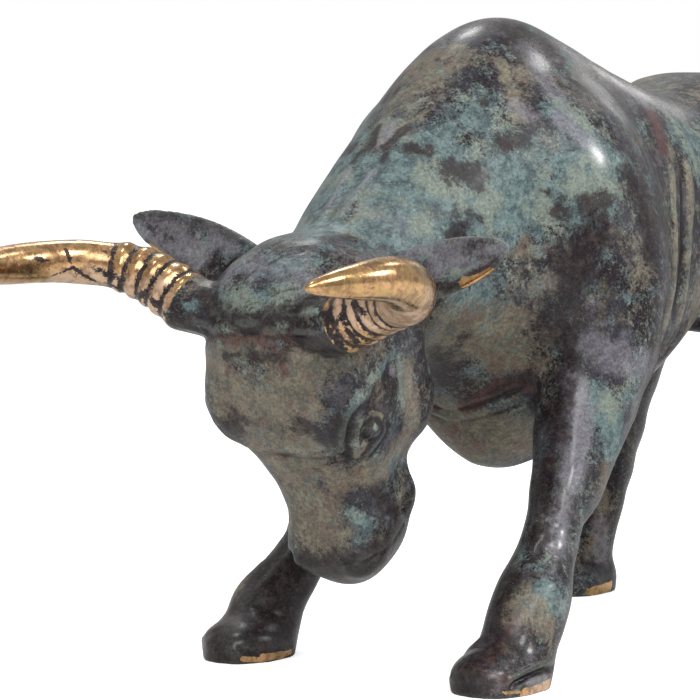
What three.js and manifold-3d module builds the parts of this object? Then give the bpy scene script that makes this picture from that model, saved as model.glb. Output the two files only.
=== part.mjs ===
// A standing bull with its head lowered, cast in one piece. Sizes in millimetres.
// +X is the bull's left, -Y the way it faces, +Z up. While modelling, y = 0 lies under the fore hooves
// and z = 0 is the ground; the finished casting is moved to the middle of its own box at the end.
import * as THREE from "three";
import { mergeVertices } from "three/addons/utils/BufferGeometryUtils.js";
import Module from "manifold-3d";

// Trunk and neck: upright slices from the throat to the rump.
// Each row: y, top, bottom, half width, height of the widest point (0 bottom .. 1 top), squareness below.
const TRUNK = [
  [-19, 84.6, 66, 10.6, 0.5, 2.2],
  [-13, 88.8, 65, 12.8, 0.5, 2.2],
  [-7.6, 92.8, 64, 14.4, 0.5, 2.2],
  [-3, 96.8, 64.4, 15.6, 0.5, 2.2],
  [5, 103.8, 63.4, 17.6, 0.48, 2.1],
  [16, 112.7, 59.6, 20.5, 0.46, 2],
  [27, 121.8, 51, 23.2, 0.43, 1.7],
  [36, 126.8, 39.4, 25.2, 0.42, 1.62],
  [47, 128.8, 35.8, 26.6, 0.42, 1.7],
  [60, 125.6, 38.8, 27, 0.43, 1.9],
  [74, 121, 44.2, 27, 0.45, 2.1],
  [86, 117.6, 51.5, 26.5, 0.47, 2.3],
  [98, 114.6, 59.5, 25.6, 0.48, 2.3],
  [110, 114.6, 63.5, 25.2, 0.5, 2.3],
  [122, 117.3, 65, 25.8, 0.52, 2.3],
  [136, 119, 67, 25, 0.55, 2.3],
  [148, 116, 69, 22, 0.55, 2.3],
];
const TRUNK_SQUARE = 2; // exponent above the widest point: 2 is an ellipse
const TRUNK_FRONT = -20;
const TRUNK_BACK = 151;
const TRUNK_ROUNDING = 16;

// Head: its own frame, s down the face from the poll, n out of the forehead, l to the bull's left.
const HEAD_POLL = [0, -25.5, 81];
const HEAD_TUCK = 19; // degrees the muzzle swings back past upright
// Each row: s, half width, front, back, sideways shift.
const HEAD = [
  [-5, 9, 7, 8.5, 0],
  [2, 14, 12.6, 12, -0.2],
  [10, 17, 15.6, 21.6, -0.6],
  [20, 16.8, 16, 23.2, 0.1],
  [28, 16.1, 15, 22.8, 0.6],
  [33.5, 15, 13.2, 22.6, 0.8],
  [38, 13.4, 11.2, 21, 1],
  [42, 11.6, 10, 17.4, 1.1],
  [47, 10.3, 9.4, 14.2, 1.2],
  [52, 10.2, 9.5, 13.6, 1.4],
  [57, 9.6, 9.2, 12, 1.5],
  [62, 8, 7.8, 8.4, 1],
];
const HEAD_SQUARE = 2.6;
const HEAD_TOP = -3.6;
const HEAD_END = 66.5;
const HEAD_ROUNDING = 9;
// Swellings of the head: centre and half sizes along l, n, s, and how softly each runs into it.
const BROW = { at: [12.8, 9.5, 24.5], size: [4.2, 5, 7], blend: 5 };
const NOSTRIL_WING = { at: [6.4, 4.8, 56.5], size: [3.6, 5, 4.4], blend: 4 };
const LIP_CORNER = { at: [8.8, -8, 49.5], size: [2, 2.6, 3.6], blend: 3 };
const CHEEK = { at: [11, -11.8, 31], size: [4.6, 6.6, 7.6], blend: 5 };
const JOWL = { at: [12.4, -11.5, 16], size: [5.2, 7, 8], blend: 5 };
const EYE_SOCKET = { at: [18.8, 5.2, 30.2], size: [4, 6.4, 4.4], blend: 2.5 };
// Eyeball and nostril: centre and half sizes along l, n, s, and the tilt in degrees.
const EYE = { at: [14.4, 5.2, 30.2], size: [2.3, 4.4, 2.9], tilt: 38, sides: 10, rings: 7 };
const NOSTRIL = { at: [6.8, 7.6, 58], size: [1.5, 2.4, 1.3], tilt: 30, sides: 8, rings: 5 };

// Muscles of the trunk: centre and half sizes along x, y, z, the lean in degrees and the blend.
const SHOULDER = { at: [18.5, 46, 84], size: [16.5, 21, 29], lean: -12, blend: 10 };
const HAUNCH = { at: [14, 134, 90], size: [15, 23, 27], lean: 8, blend: 10 };
const NAPE = { at: [0, -14, 76.5], size: [13, 10, 8.5], lean: 0, blend: 7 };
const GROIN = { at: [0, 138, 66], size: [5.5, 5.5, 9.5], lean: 0, blend: 4 };
const NECK_BLEND = 5; // how softly the head runs into the neck

// Legs: chains of round cones, x, y, z, radius from the body down. Widths are narrowed across by LEG_THIN.
const LEG_THIN = 0.94;
const LEG_BLEND = 3; // between the cones of one leg
const FORELEG_BLEND = 7; // between a foreleg and the trunk
const HINDLEG_BLEND = 8;
const FORELEG = [
  [24, 46, 76, 14.5],
  [26.5, 42.5, 63, 12.3],
  [27.2, 37.5, 52, 9.8],
  [27.6, 33, 44.8, 8.5],
  [28.5, 28.5, 37.3, 7],
  [29.2, 24.5, 33.2, 5.9],
  [30, 19.5, 26.5, 5],
  [30.5, 16.2, 21.8, 5.5],
  [31, 12.2, 16.5, 6.9],
  [31.4, 8.6, 12, 7.1],
  [31.6, 5.4, 8.5, 7.2],
];
// The right foreleg against the left one, row by row: further in, further back, thicker.
const RIGHT_FORE = [
  [0, 0, 0],
  [0.3, 0, 0],
  [0.7, 0.2, 0],
  [1.2, 0.3, 0],
  [1.7, 0.5, 0],
  [2.2, 0.7, -0.2],
  [3, 0.9, -0.5],
  [3.6, 1, -1],
  [3.4, 1, -1.8],
  [2, 1, -1],
  [1.3, 1, 0.1],
];
const HINDLEG = [
  [17, 137, 80, 14],
  [18.5, 132.5, 64, 11.8],
  [19.6, 127.5, 50, 9.3],
  [20.4, 126.4, 38, 7.3],
  [21, 124.6, 28.5, 6.2],
  [21.3, 122, 20, 5.4],
  [21.6, 119.6, 13.5, 5.2],
  [21.9, 117.2, 8.5, 5.9],
];
// Hooves: centre x, y, half width, half length, height of the wall.
const FORE_HOOF = [31.7, -0.4, 8, 10.7, 8.5];
const RIGHT_FORE_HOOF = [29.4, 0.6, 7.8, 10.3, 8.5];
const HIND_HOOF = [22, 114.4, 7.3, 10, 7.6];
const HOOF_BELLY = 3; // height where a hoof is widest
const HOOF_SWELL = 0.05; // how much wider it is there
const HOOF_TAPER = 0.006; // share lost with the square of each millimetre from there
const HOOF_LEAN = 0.32; // how far the wall leans back for each millimetre up
const HOOF_SQUARE = 2.4;
const HOOF_ROUNDING = 6; // at the top
const HOOF_BLEND = 3.5;

const clamp = (t, a, b) => Math.min(Math.max(t, a), b);
const rad = THREE.MathUtils.degToRad;

function smin(a, b, k) {
  const h = Math.max(k - Math.abs(a - b), 0) / k;
  return Math.min(a, b) - h * h * k * 0.25;
}
const smax = (a, b, k) => -smin(-a, -b, k);

// A smooth curve through one column of a table of rows that start with t.
function column(rows, c) {
  const n = rows.length;
  const slope = rows.map((row, i) => {
    const a = rows[Math.max(i - 1, 0)];
    const b = rows[Math.min(i + 1, n - 1)];
    return (b[c] - a[c]) / (b[0] - a[0]);
  });
  return (t) => {
    if (t <= rows[0][0]) return rows[0][c] + slope[0] * Math.max(t - rows[0][0], -8);
    if (t >= rows[n - 1][0]) return rows[n - 1][c] + slope[n - 1] * Math.min(t - rows[n - 1][0], 8);
    let i = 0;
    while (t > rows[i + 1][0]) i++;
    const h = rows[i + 1][0] - rows[i][0];
    const u = (t - rows[i][0]) / h;
    const v = 1 - u;
    return (
      rows[i][c] * (1 + 2 * u) * v * v +
      rows[i + 1][c] * u * u * (3 - 2 * u) +
      slope[i] * h * u * v * v -
      slope[i + 1] * h * u * u * v
    );
  };
}

// Signed distance, near enough, to a superelliptic slice of half sizes a and b.
function slice(u, v, a, b, n) {
  const pu = Math.abs(u) / a;
  const pv = Math.abs(v) / b;
  const q = Math.pow(Math.pow(pu, n) + Math.pow(pv, n), 1 / n);
  if (q < 1e-6) return -Math.min(a, b);
  const gu = Math.pow(pu / q, n - 1) / a;
  const gv = Math.pow(pv / q, n - 1) / b;
  return (q - 1) / Math.hypot(gu, gv);
}

function roundCone(x, y, z, a, b) {
  const bx = b[0] - a[0];
  const by = b[1] - a[1];
  const bz = b[2] - a[2];
  const l2 = bx * bx + by * by + bz * bz;
  const rr = a[3] - b[3];
  const a2 = l2 - rr * rr;
  const px = x - a[0];
  const py = y - a[1];
  const pz = z - a[2];
  const t = px * bx + py * by + pz * bz;
  const w = t - l2;
  const qx = px * l2 - bx * t;
  const qy = py * l2 - by * t;
  const qz = pz * l2 - bz * t;
  const x2 = qx * qx + qy * qy + qz * qz;
  const y2 = t * t * l2;
  const z2 = w * w * l2;
  const k = Math.sign(rr) * rr * rr * x2;
  if (Math.sign(w) * a2 * z2 > k) return Math.sqrt(x2 + z2) / l2 - b[3];
  if (Math.sign(t) * a2 * y2 < k) return Math.sqrt(x2 + y2) / l2 - a[3];
  return (Math.sqrt((x2 * a2) / l2) + t * rr) / l2 - a[3];
}

function chain(x, y, z, rows, k) {
  let d = 1e9;
  for (let i = 0; i + 1 < rows.length; i++) d = smin(d, roundCone(x, y, z, rows[i], rows[i + 1]), k);
  return d;
}

// An ellipsoid of half sizes r about c, leaned back by `lean` degrees about the x axis.
function egg(x, y, z, { at: c, size: r, lean = 0 }) {
  const cs = Math.cos(rad(lean));
  const sn = Math.sin(rad(lean));
  const dy = y - c[1];
  const dz = z - c[2];
  const px = (x - c[0]) / r[0];
  const py = (dy * cs - dz * sn) / r[1];
  const pz = (dy * sn + dz * cs) / r[2];
  const k0 = Math.hypot(px, py, pz);
  const k1 = Math.hypot(px / r[0], py / r[1], pz / r[2]);
  return k1 < 1e-9 ? -Math.min(...r) : (k0 * (k0 - 1)) / k1;
}

const trunkTop = column(TRUNK, 1);
const trunkBottom = column(TRUNK, 2);
const trunkWide = column(TRUNK, 3);
const trunkMid = column(TRUNK, 4);
const trunkSquare = column(TRUNK, 5);
function trunk(x, y, z) {
  const top = trunkTop(y);
  const bottom = trunkBottom(y);
  const mid = bottom + (top - bottom) * trunkMid(y);
  const above = z > mid;
  const reach = above ? top - mid : mid - bottom;
  const d = slice(x, z - mid, trunkWide(y), reach, above ? TRUNK_SQUARE : trunkSquare(y));
  return smax(smax(d, TRUNK_FRONT - y, TRUNK_ROUNDING), y - TRUNK_BACK, TRUNK_ROUNDING);
}

const headWide = column(HEAD, 1);
const headFront = column(HEAD, 2);
const headBack = column(HEAD, 3);
const headShift = column(HEAD, 4);
const headTurn = new THREE.Matrix4().makeRotationX(rad(HEAD_TUCK));
const headFrame = new THREE.Matrix4().makeTranslation(...HEAD_POLL).multiply(headTurn);
const headInverse = headFrame.clone().invert().elements;
// From the working frame to head measures l, n, s.
function toHead(x, y, z) {
  const e = headInverse;
  return [
    e[0] * x + e[4] * y + e[8] * z + e[12],
    -(e[1] * x + e[5] * y + e[9] * z + e[13]),
    -(e[2] * x + e[6] * y + e[10] * z + e[14]),
  ];
}
function head(x, y, z) {
  const [l, n, s] = toHead(x, y, z);
  const m = l - headShift(s);
  let d = slice(m, n, headWide(s), n > 0 ? headFront(s) : headBack(s), HEAD_SQUARE);
  d = smax(smax(d, HEAD_TOP - s, HEAD_ROUNDING), s - HEAD_END, HEAD_ROUNDING);
  const a = Math.abs(m);
  for (const part of [BROW, NOSTRIL_WING, LIP_CORNER, CHEEK, JOWL])
    d = smin(d, egg(a, n, s, part), part.blend);
  return smax(d, -egg(a, n, s, EYE_SOCKET), EYE_SOCKET.blend);
}

function hoof(x, y, z, h) {
  const up = clamp(z, 0, h[4]);
  const lean = HOOF_LEAN * Math.max(up - HOOF_BELLY, 0);
  const grow = 1 + HOOF_SWELL - HOOF_TAPER * (up - HOOF_BELLY) ** 2;
  const d = slice(x - h[0], y - h[1] - lean, h[2] * grow, h[3] * grow, HOOF_SQUARE);
  return smax(d, z - h[4], HOOF_ROUNDING);
}

const leftForeleg = FORELEG.map((r) => [r[0] / LEG_THIN, r[1], r[2], r[3]]);
const rightForeleg = FORELEG.map((r, i) => {
  const [inward, back, thicker] = RIGHT_FORE[i];
  return [(r[0] - inward) / LEG_THIN, r[1] + back, r[2], r[3] + thicker];
});
const hindleg = HINDLEG.map((r) => [r[0] / LEG_THIN, r[1], r[2], r[3]]);

function field(x, y, z) {
  const a = Math.abs(x);
  let d = trunk(x, y, z);
  for (const muscle of [SHOULDER, HAUNCH]) d = smin(d, egg(a, y, z, muscle), muscle.blend);
  d = smin(d, head(x, y, z), NECK_BLEND);
  const limb = (cones, end) =>
    smin(chain(a / LEG_THIN, y, z, cones, LEG_BLEND), hoof(a, y, z, end), HOOF_BLEND);
  const foreleg = x < 0 ? limb(rightForeleg, RIGHT_FORE_HOOF) : limb(leftForeleg, FORE_HOOF);
  d = smin(d, foreleg, FORELEG_BLEND);
  d = smin(d, limb(hindleg, HIND_HOOF), HINDLEG_BLEND);
  for (const muscle of [NAPE, GROIN]) d = smin(d, egg(a, y, z, muscle), muscle.blend);
  return d;
}

// Cell edges along one axis: the step at any place lies between the steps named beside it.
function cells(marks) {
  const out = [marks[0][0]];
  const last = marks[marks.length - 1][0];
  while (out[out.length - 1] < last) {
    const t = out[out.length - 1];
    let i = 0;
    while (i + 2 < marks.length && t >= marks[i + 1][0]) i++;
    const u = clamp((t - marks[i][0]) / (marks[i + 1][0] - marks[i][0]), 0, 1);
    out.push(t + marks[i][1] + (marks[i + 1][1] - marks[i][1]) * u);
  }
  return out;
}

// Draws the cells in about the head, so that they are finer there.
const FINE_AT = [0, -14, 54];
const FINE_REACH = 60;
const FINE = 0.6;
function drawIn(x, y, z) {
  const d = [x - FINE_AT[0], y - FINE_AT[1], z - FINE_AT[2]];
  const r = Math.min(Math.hypot(...d) / FINE_REACH, 1);
  const m = FINE + (1 - FINE) * r * r * (3 - 2 * r);
  return d.map((v, i) => FINE_AT[i] + v * m);
}

const SLOPE_STEP = 0.05; // how far apart the field is read for its slope
const LEAST_SLOPE = 0.05;
const SETTLE_ROUNDS = 3;
const SETTLE_REACH = 1.5; // the furthest a vertex moves in one round
const EASE = 0.5; // share of the way to the neighbours' middle

// The skin of the field as quads, one vertex to a cell, then eased along the surface.
function skin(skinField, X, Y, Z, rounds) {
  const f = (x, y, z) => Math.max(skinField(x, y, z), -z);
  const [nx, ny, nz] = [X.length, Y.length, Z.length];
  const spot = (i, j, k) => drawIn(X[i], Y[j], Z[k]);
  const at = (i, j, k) => (i * ny + j) * nz + k;
  const value = new Float64Array(nx * ny * nz);
  for (let i = 0; i < nx; i++)
    for (let j = 0; j < ny; j++) for (let k = 0; k < nz; k++) value[at(i, j, k)] = f(...spot(i, j, k));
  // Each cell's cut edges fall into loops, and each loop gives one vertex. Edge m * 4 + a + 2 * b of a cell
  // runs along axis m, a and b steps along the two other axes.
  const other = [[1, 2], [0, 2], [0, 1]];
  const vertexOf = new Map();
  const points = [];
  const sole = []; // true on the rim of a sole, false inside it, absent elsewhere
  const base = [0, 0, 0];
  for (base[0] = 0; base[0] + 1 < nx; base[0]++)
    for (base[1] = 0; base[1] + 1 < ny; base[1]++)
      for (base[2] = 0; base[2] + 1 < nz; base[2]++) {
        const valueAt = (o) => value[at(base[0] + o[0], base[1] + o[1], base[2] + o[2])];
        const place = (o) => spot(base[0] + o[0], base[1] + o[1], base[2] + o[2]);
        const cut = [];
        const ends = [];
        for (let e = 0; e < 12; e++) {
          const m = e >> 2;
          const o = [0, 0, 0];
          o[other[m][0]] = e & 1;
          o[other[m][1]] = (e >> 1) & 1;
          const p = o.slice();
          p[m] = 1;
          ends.push([o, p]);
          cut.push(valueAt(o) < 0 !== valueAt(p) < 0);
        }
        if (!cut.includes(true)) continue;
        const loop = ends.map((_, e) => e);
        const find = (e) => (loop[e] === e ? e : find(loop[e]));
        for (let m = 0; m < 3; m++)
          for (let side = 0; side < 2; side++) {
            const face = ends.map((_, e) => e).filter((e) => cut[e] && ends[e].every((o) => o[m] === side));
            if (face.length === 2) loop[find(face[0])] = find(face[1]);
            if (face.length !== 4) continue;
            for (const e of face)
              for (const f2 of face)
                if (e < f2 && ends[e].some((o) => valueAt(o) < 0 && ends[f2].some((q) => `${q}` === `${o}`)))
                  loop[find(e)] = find(f2);
          }
        const made = new Map();
        for (let e = 0; e < 12; e++) {
          if (!cut[e]) continue;
          const a = valueAt(ends[e][0]);
          const t = a / (a - valueAt(ends[e][1]));
          const p = place(ends[e][0]);
          const q = place(ends[e][1]);
          const group = find(e);
          if (!made.has(group)) made.set(group, { sum: [0, 0, 0], edges: [] });
          const g = made.get(group);
          p.forEach((v, m) => (g.sum[m] += v + (q[m] - v) * t));
          g.edges.push(e);
        }
        const low = Z[base[2]] < 0 && Z[base[2] + 1] > 0;
        const rim = low && ends.some(([o, p]) => (o[2] && valueAt(o) >= 0) || (p[2] && valueAt(p) >= 0));
        for (const g of made.values()) {
          if (low) sole[points.length] = rim;
          for (const e of g.edges) vertexOf.set(at(...base) * 12 + e, points.length);
          points.push(g.sum.map((v) => v / g.edges.length));
        }
      }
  const quads = [];
  for (let i = 1; i + 1 < nx; i++)
    for (let j = 1; j + 1 < ny; j++)
      for (let k = 1; k + 1 < nz; k++)
        for (let m = 0; m < 3; m++) {
          const a = value[at(i, j, k)] < 0;
          const b = value[at(i + (m === 0), j + (m === 1), k + (m === 2))] < 0;
          if (a === b) continue;
          const around = [[0, 0], [1, 0], [1, 1], [0, 1]].map(([u, w]) => {
            const c = [i, j, k];
            c[other[m][0]] -= u;
            c[other[m][1]] -= w;
            return vertexOf.get(at(...c) * 12 + m * 4 + u + 2 * w);
          });
          quads.push(a === (m === 1) ? around.reverse() : around);
        }
  const near = points.map(() => new Set());
  for (const q of quads)
    for (let m = 0; m < 4; m++) {
      near[q[m]].add(q[(m + 1) % 4]);
      near[q[m]].add(q[(m + 3) % 4]);
    }
  const settle = (p, foot) => {
    if (foot !== undefined) p[2] = 0;
    if (foot === false) return;
    for (let n = 0; n < SETTLE_ROUNDS; n++) {
      const v = skinField(p[0], p[1], p[2]);
      const g = [0, 1, 2].map((m) => {
        if (foot && m === 2) return 0;
        const s = p.slice();
        s[m] += SLOPE_STEP;
        return (skinField(s[0], s[1], s[2]) - v) / SLOPE_STEP;
      });
      const g2 = Math.max(g[0] * g[0] + g[1] * g[1] + g[2] * g[2], LEAST_SLOPE);
      const move = clamp(v / g2, -SETTLE_REACH, SETTLE_REACH);
      for (let m = 0; m < 3; m++) p[m] -= g[m] * move;
    }
  };
  for (let n = 0; n < rounds; n++) {
    const next = points.map((p, i) => {
      const mean = [0, 0, 0];
      for (const o of near[i]) for (let m = 0; m < 3; m++) mean[m] += points[o][m] / near[i].size;
      return p.map((v, m) => v + EASE * (mean[m] - v));
    });
    next.forEach((p, i) => {
      settle(p, sole[i]);
      points[i] = p;
    });
  }
  return { points, quads };
}

function meshOf({ points, quads }) {
  const g = new THREE.BufferGeometry();
  g.setAttribute("position", new THREE.BufferAttribute(new Float32Array(points.flat()), 3));
  const index = [];
  const d2 = (a, b) => points[a].reduce((s, v, m) => s + (v - points[b][m]) ** 2, 0);
  for (const q of quads) {
    if (q.length === 3) index.push(...q);
    else if (d2(q[0], q[2]) < d2(q[1], q[3])) index.push(q[0], q[1], q[2], q[0], q[2], q[3]);
    else index.push(q[1], q[2], q[3], q[1], q[3], q[0]);
  }
  g.setIndex(index);
  return g;
}

const wasm = await Module();
wasm.setup();
function solid(g) {
  const c = g.clone();
  c.deleteAttribute("normal");
  c.deleteAttribute("uv");
  const m = mergeVertices(c, 1e-4);
  return new wasm.Manifold(
    new wasm.Mesh({
      numProp: 3,
      vertProperties: new Float32Array(m.attributes.position.array),
      triVerts: new Uint32Array(m.index.array),
    }),
  );
}
function geometryOf(s) {
  const m = s.getMesh();
  const g = new THREE.BufferGeometry();
  const v = new Float32Array(m.numVert * 3);
  for (let i = 0; i < m.numVert; i++)
    v.set(m.vertProperties.subarray(i * m.numProp, i * m.numProp + 3), i * 3);
  g.setAttribute("position", new THREE.BufferAttribute(v, 3));
  g.setIndex(new THREE.BufferAttribute(new Uint32Array(m.triVerts), 1));
  return g;
}

// Horn: centre line out, forward and up from the poll, with the radius; the right side is mirrored.
const HORN = [
  [9, 5, -10.5, 5.4],
  [18, 6.2, -8.8, 5.6],
  [24.5, 7.2, -5.4, 5.4],
  [31, 9.4, -3.1, 4.8],
  [37.5, 14, -2.3, 4.3],
  [41.5, 20.5, -2.3, 4],
  [43.2, 28, -2.7, 3.8],
  [42.8, 35, -3, 3.3],
  [41, 41.5, -3.2, 2.3],
  [39.4, 45.4, -3.4, 1.1],
];
const POLL_ROLL = 2.8; // degrees the horns and ears tilt, down on the bull's left
// The left horn against the right one: forward, how much higher, how much thicker.
const LEFT_HORN = [
  [5, 0, 0],
  [7.2, -1.5, 0],
  [10.5, -1.7, 0.2],
  [14, -0.9, 0.6],
  [20.5, 1.8, 0.7],
  [28, 3.8, 0.3],
  [36, 4, 0],
  [46, 3.4, 0],
];
const HORN_SIDES = 10;
const HORN_COVERED = 0.1; // share of the centre line at the root that skin covers
const HORN_RINGED = 0.27; // share that carries rings
const HORN_RINGS = 5;
const HORN_RIDGE = 0.32; // how far a ring stands out and its groove sinks
const HORN_PLAIN = 9; // steps along the rest

// A closed tube along points with radii, its first end flat and its last end a tip.
function tube(rows, sides, places, bump = () => 0) {
  const path = new THREE.CatmullRomCurve3(rows.map((r) => new THREE.Vector3(r[0], r[1], r[2])));
  const radius = column(rows.map((r, i) => [i / (rows.length - 1), r[3]]), 1);
  const points = [];
  const quads = [];
  let side = new THREE.Vector3(0, 0, 1);
  const steps = places.length - 1;
  for (const t of places) {
    const c = path.getPoint(t);
    const along = path.getTangent(t);
    side = side.clone().addScaledVector(along, -side.dot(along)).normalize();
    const up = new THREE.Vector3().crossVectors(along, side);
    for (let j = 0; j < sides; j++) {
      const a = (2 * Math.PI * j) / sides;
      const p = c.clone();
      const r = radius(t) + bump(t);
      p.addScaledVector(side, Math.cos(a) * r);
      p.addScaledVector(up, Math.sin(a) * r);
      points.push(p.toArray());
    }
  }
  for (let i = 0; i < steps; i++)
    for (let j = 0; j < sides; j++) {
      const k = (j + 1) % sides;
      quads.push([i * sides + j, i * sides + k, (i + 1) * sides + k, (i + 1) * sides + j]);
    }
  const a = points.push(path.getPoint(0).toArray()) - 1;
  const tip = path.getPoint(1).addScaledVector(path.getTangent(1), radius(1));
  const b = points.push(tip.toArray()) - 1;
  for (let j = 0; j < sides; j++) {
    const k = (j + 1) % sides;
    quads.push([a, k, j]);
    quads.push([b, steps * sides + j, steps * sides + k]);
  }
  return { points, quads };
}

// From the poll to the working frame: out to one side, forward and up.
const pollTurn = new THREE.Matrix4().makeRotationY(rad(POLL_ROLL));
function fromPoll(side, out, forward, up) {
  const p = new THREE.Vector3(side * out, -forward, up).applyMatrix4(pollTurn);
  return [HEAD_POLL[0] + p.x, HEAD_POLL[1] + p.y, HEAD_POLL[2] + p.z];
}

function horn(side) {
  const higher = column(LEFT_HORN, 1);
  const thicker = column(LEFT_HORN, 2);
  const left = side > 0 ? 1 : 0;
  const rows = HORN.map(([out, forward, up, r]) => [
    ...fromPoll(side, out, forward, up + left * higher(forward)),
    r + left * thicker(forward),
  ]);
  // Two places to a ring: its ridge, then its groove.
  const ringStep = HORN_RINGED / (HORN_RINGS * 2);
  const ring = Array.from({ length: HORN_RINGS * 2 }, (_, i) => HORN_COVERED + (i + 1) * ringStep);
  const from = HORN_COVERED + HORN_RINGED;
  const plain = Array.from({ length: HORN_PLAIN }, (_, i) => from + ((1 - from) * (i + 1)) / HORN_PLAIN);
  const places = [0, HORN_COVERED, ...ring, ...plain];
  const bump = (t) => (ring.includes(t) ? HORN_RIDGE * (ring.indexOf(t) % 2 ? -1 : 1) : 0);
  return solid(meshOf(tube(rows, HORN_SIDES, places, bump)));
}

// Tail: hangs against the rump, its tuft free behind the hocks. Rows: x, y, z, radius.
const TAIL = [
  [0, 146, 112, 4.2],
  [0, 154, 108.5, 3.8],
  [0.2, 158, 99, 3.3],
  [0.8, 158, 84, 2.9],
  [1.8, 153.5, 69, 2.7],
  [2.8, 148.5, 58, 2.9],
  [3.4, 146, 49, 4],
  [3.8, 145.2, 41, 3.6],
  [4, 145, 34.5, 1.2],
];
const TAIL_SIDES = 8;
const TAIL_STEPS = 12;

// Ear: a leaf from the side of the poll, dished on its front face. Rows run from the root to the tip:
// out, forward, up from the poll, half width, half thickness.
const EAR = [
  [9, -8, -4.2, 3.8, 2.6],
  [15, -8.8, -3.2, 5, 2.4],
  [22, -9.6, -1.3, 5.6, 1.9],
  [30, -9.6, 1, 5.5, 1.5],
  [37, -8.8, 3, 4.3, 1.2],
  [41.4, -8, 4.4, 2.8, 0.9],
  [43.6, -7.6, 5.2, 1.2, 0.6],
];
const EAR_SIDES = 10;
const EAR_ACROSS = [-0.18, -0.25, 0.95]; // the way its width runs: out, forward, up
const EAR_DISH = 0.85; // share of the front thickness that is hollowed away at the middle
const EAR_POINT = [0.9, 0, 0.1]; // from the last row to the tip
function ear(side) {
  const points = [];
  const quads = [];
  const place = (out, forward, up) => points.push(fromPoll(side, out, forward, up));
  for (const [out, forward, up, wide, thick] of EAR)
    for (let j = 0; j < EAR_SIDES; j++) {
      const a = (2 * Math.PI * j) / EAR_SIDES;
      const w = Math.cos(a) * wide;
      const t = Math.sin(a) * thick;
      const dish = t > 0 ? t * (1 - EAR_DISH + EAR_DISH * Math.abs(Math.cos(a))) : t;
      place(out + w * EAR_ACROSS[0], forward + dish + w * EAR_ACROSS[1], up + w * EAR_ACROSS[2]);
    }
  const last = EAR.length - 1;
  const n = EAR_SIDES;
  for (let i = 0; i < last; i++)
    for (let j = 0; j < n; j++) {
      const k = (j + 1) % n;
      quads.push([i * n + j, i * n + k, (i + 1) * n + k, (i + 1) * n + j]);
    }
  place(...EAR[0].slice(0, 3));
  place(...EAR_POINT.map((v, m) => EAR[last][m] + v));
  for (let j = 0; j < n; j++) {
    const k = (j + 1) % n;
    quads.push([points.length - 2, k, j]);
    quads.push([points.length - 1, last * n + j, last * n + k]);
  }
  if (side < 0) quads.forEach((q) => q.reverse());
  return solid(meshOf({ points, quads }));
}

// A ball stretched to half sizes along l, n, s of the head, tilted in the plane of the cheek.
function bead(side, { at, size, tilt, sides, rings }) {
  const g = new THREE.SphereGeometry(1, sides, rings);
  g.scale(...size);
  g.rotateX(rad(-tilt));
  g.translate(side * at[0], -at[1], -at[2]);
  g.applyMatrix4(headFrame);
  return solid(g);
}

// Cells of the skin: where a step applies, and the step.
const GRID_X = cells([[-61.6, 4.4], [61.6, 4.4]]);
const GRID_Y = cells([[-70, 4.3], [20, 4.4], [50, 5], [70, 7], [112, 7], [130, 5.2], [172, 5.2]]);
const GRID_Z = cells([[-4.8, 3.2], [10, 3.9], [40, 4.6], [140, 4.8]]);

const EASE_ROUNDS = 4;

const body = solid(meshOf(skin(field, GRID_X, GRID_Y, GRID_Z, EASE_ROUNDS)));
const tailPlaces = Array.from({ length: TAIL_STEPS + 1 }, (_, i) => i / TAIL_STEPS);
let bull = body.add(solid(meshOf(tube(TAIL, TAIL_SIDES, tailPlaces))));
for (const side of [1, -1]) {
  bull = bull.add(horn(side)).add(ear(side));
  bull = bull.add(bead(side, EYE)).subtract(bead(side, NOSTRIL));
}

const material = new THREE.MeshStandardMaterial({ color: 0x4a4a44, metalness: 0.6, roughness: 0.5 });
const mesh = new THREE.Mesh(geometryOf(bull), material);
mesh.name = "bull";
mesh.geometry.computeBoundingBox();
const box = mesh.geometry.boundingBox;
mesh.position.set(-(box.min.x + box.max.x) / 2, -(box.min.y + box.max.y) / 2, -box.min.z);
const root = new THREE.Group();
root.name = "bull_figurine";
root.add(mesh);

export default root;
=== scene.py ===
"""A small cast bronze bull with a mottled patina: the finished casting, its finish, and a plain stage."""

import math

import bmesh
import bpy
import numpy as np
from bpy.props import FloatProperty, FloatVectorProperty, IntProperty, PointerProperty
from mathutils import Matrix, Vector
from mathutils.bvhtree import BVHTree
from mathutils.kdtree import KDTree


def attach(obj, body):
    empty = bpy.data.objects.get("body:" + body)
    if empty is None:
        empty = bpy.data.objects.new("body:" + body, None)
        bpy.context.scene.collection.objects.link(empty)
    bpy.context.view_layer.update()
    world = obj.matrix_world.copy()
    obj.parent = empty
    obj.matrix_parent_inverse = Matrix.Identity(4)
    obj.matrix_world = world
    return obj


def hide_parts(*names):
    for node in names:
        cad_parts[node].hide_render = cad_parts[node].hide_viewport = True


bl_info = {
    "name": "Bronze Bull",
    "version": (1, 0, 0),
    "blender": (4, 5, 0),
    "location": "3D View > Sidebar > Bull",
    "description": "Finishes a cast bronze bull with carved detail and a mottled patina",
    "category": "Object",
}

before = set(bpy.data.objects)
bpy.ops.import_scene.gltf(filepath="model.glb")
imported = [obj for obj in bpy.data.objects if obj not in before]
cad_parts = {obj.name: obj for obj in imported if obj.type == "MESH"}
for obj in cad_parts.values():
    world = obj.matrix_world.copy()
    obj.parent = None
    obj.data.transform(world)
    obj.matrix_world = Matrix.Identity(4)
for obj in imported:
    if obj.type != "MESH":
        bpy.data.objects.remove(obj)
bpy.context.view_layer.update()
MM = 0.001

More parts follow.
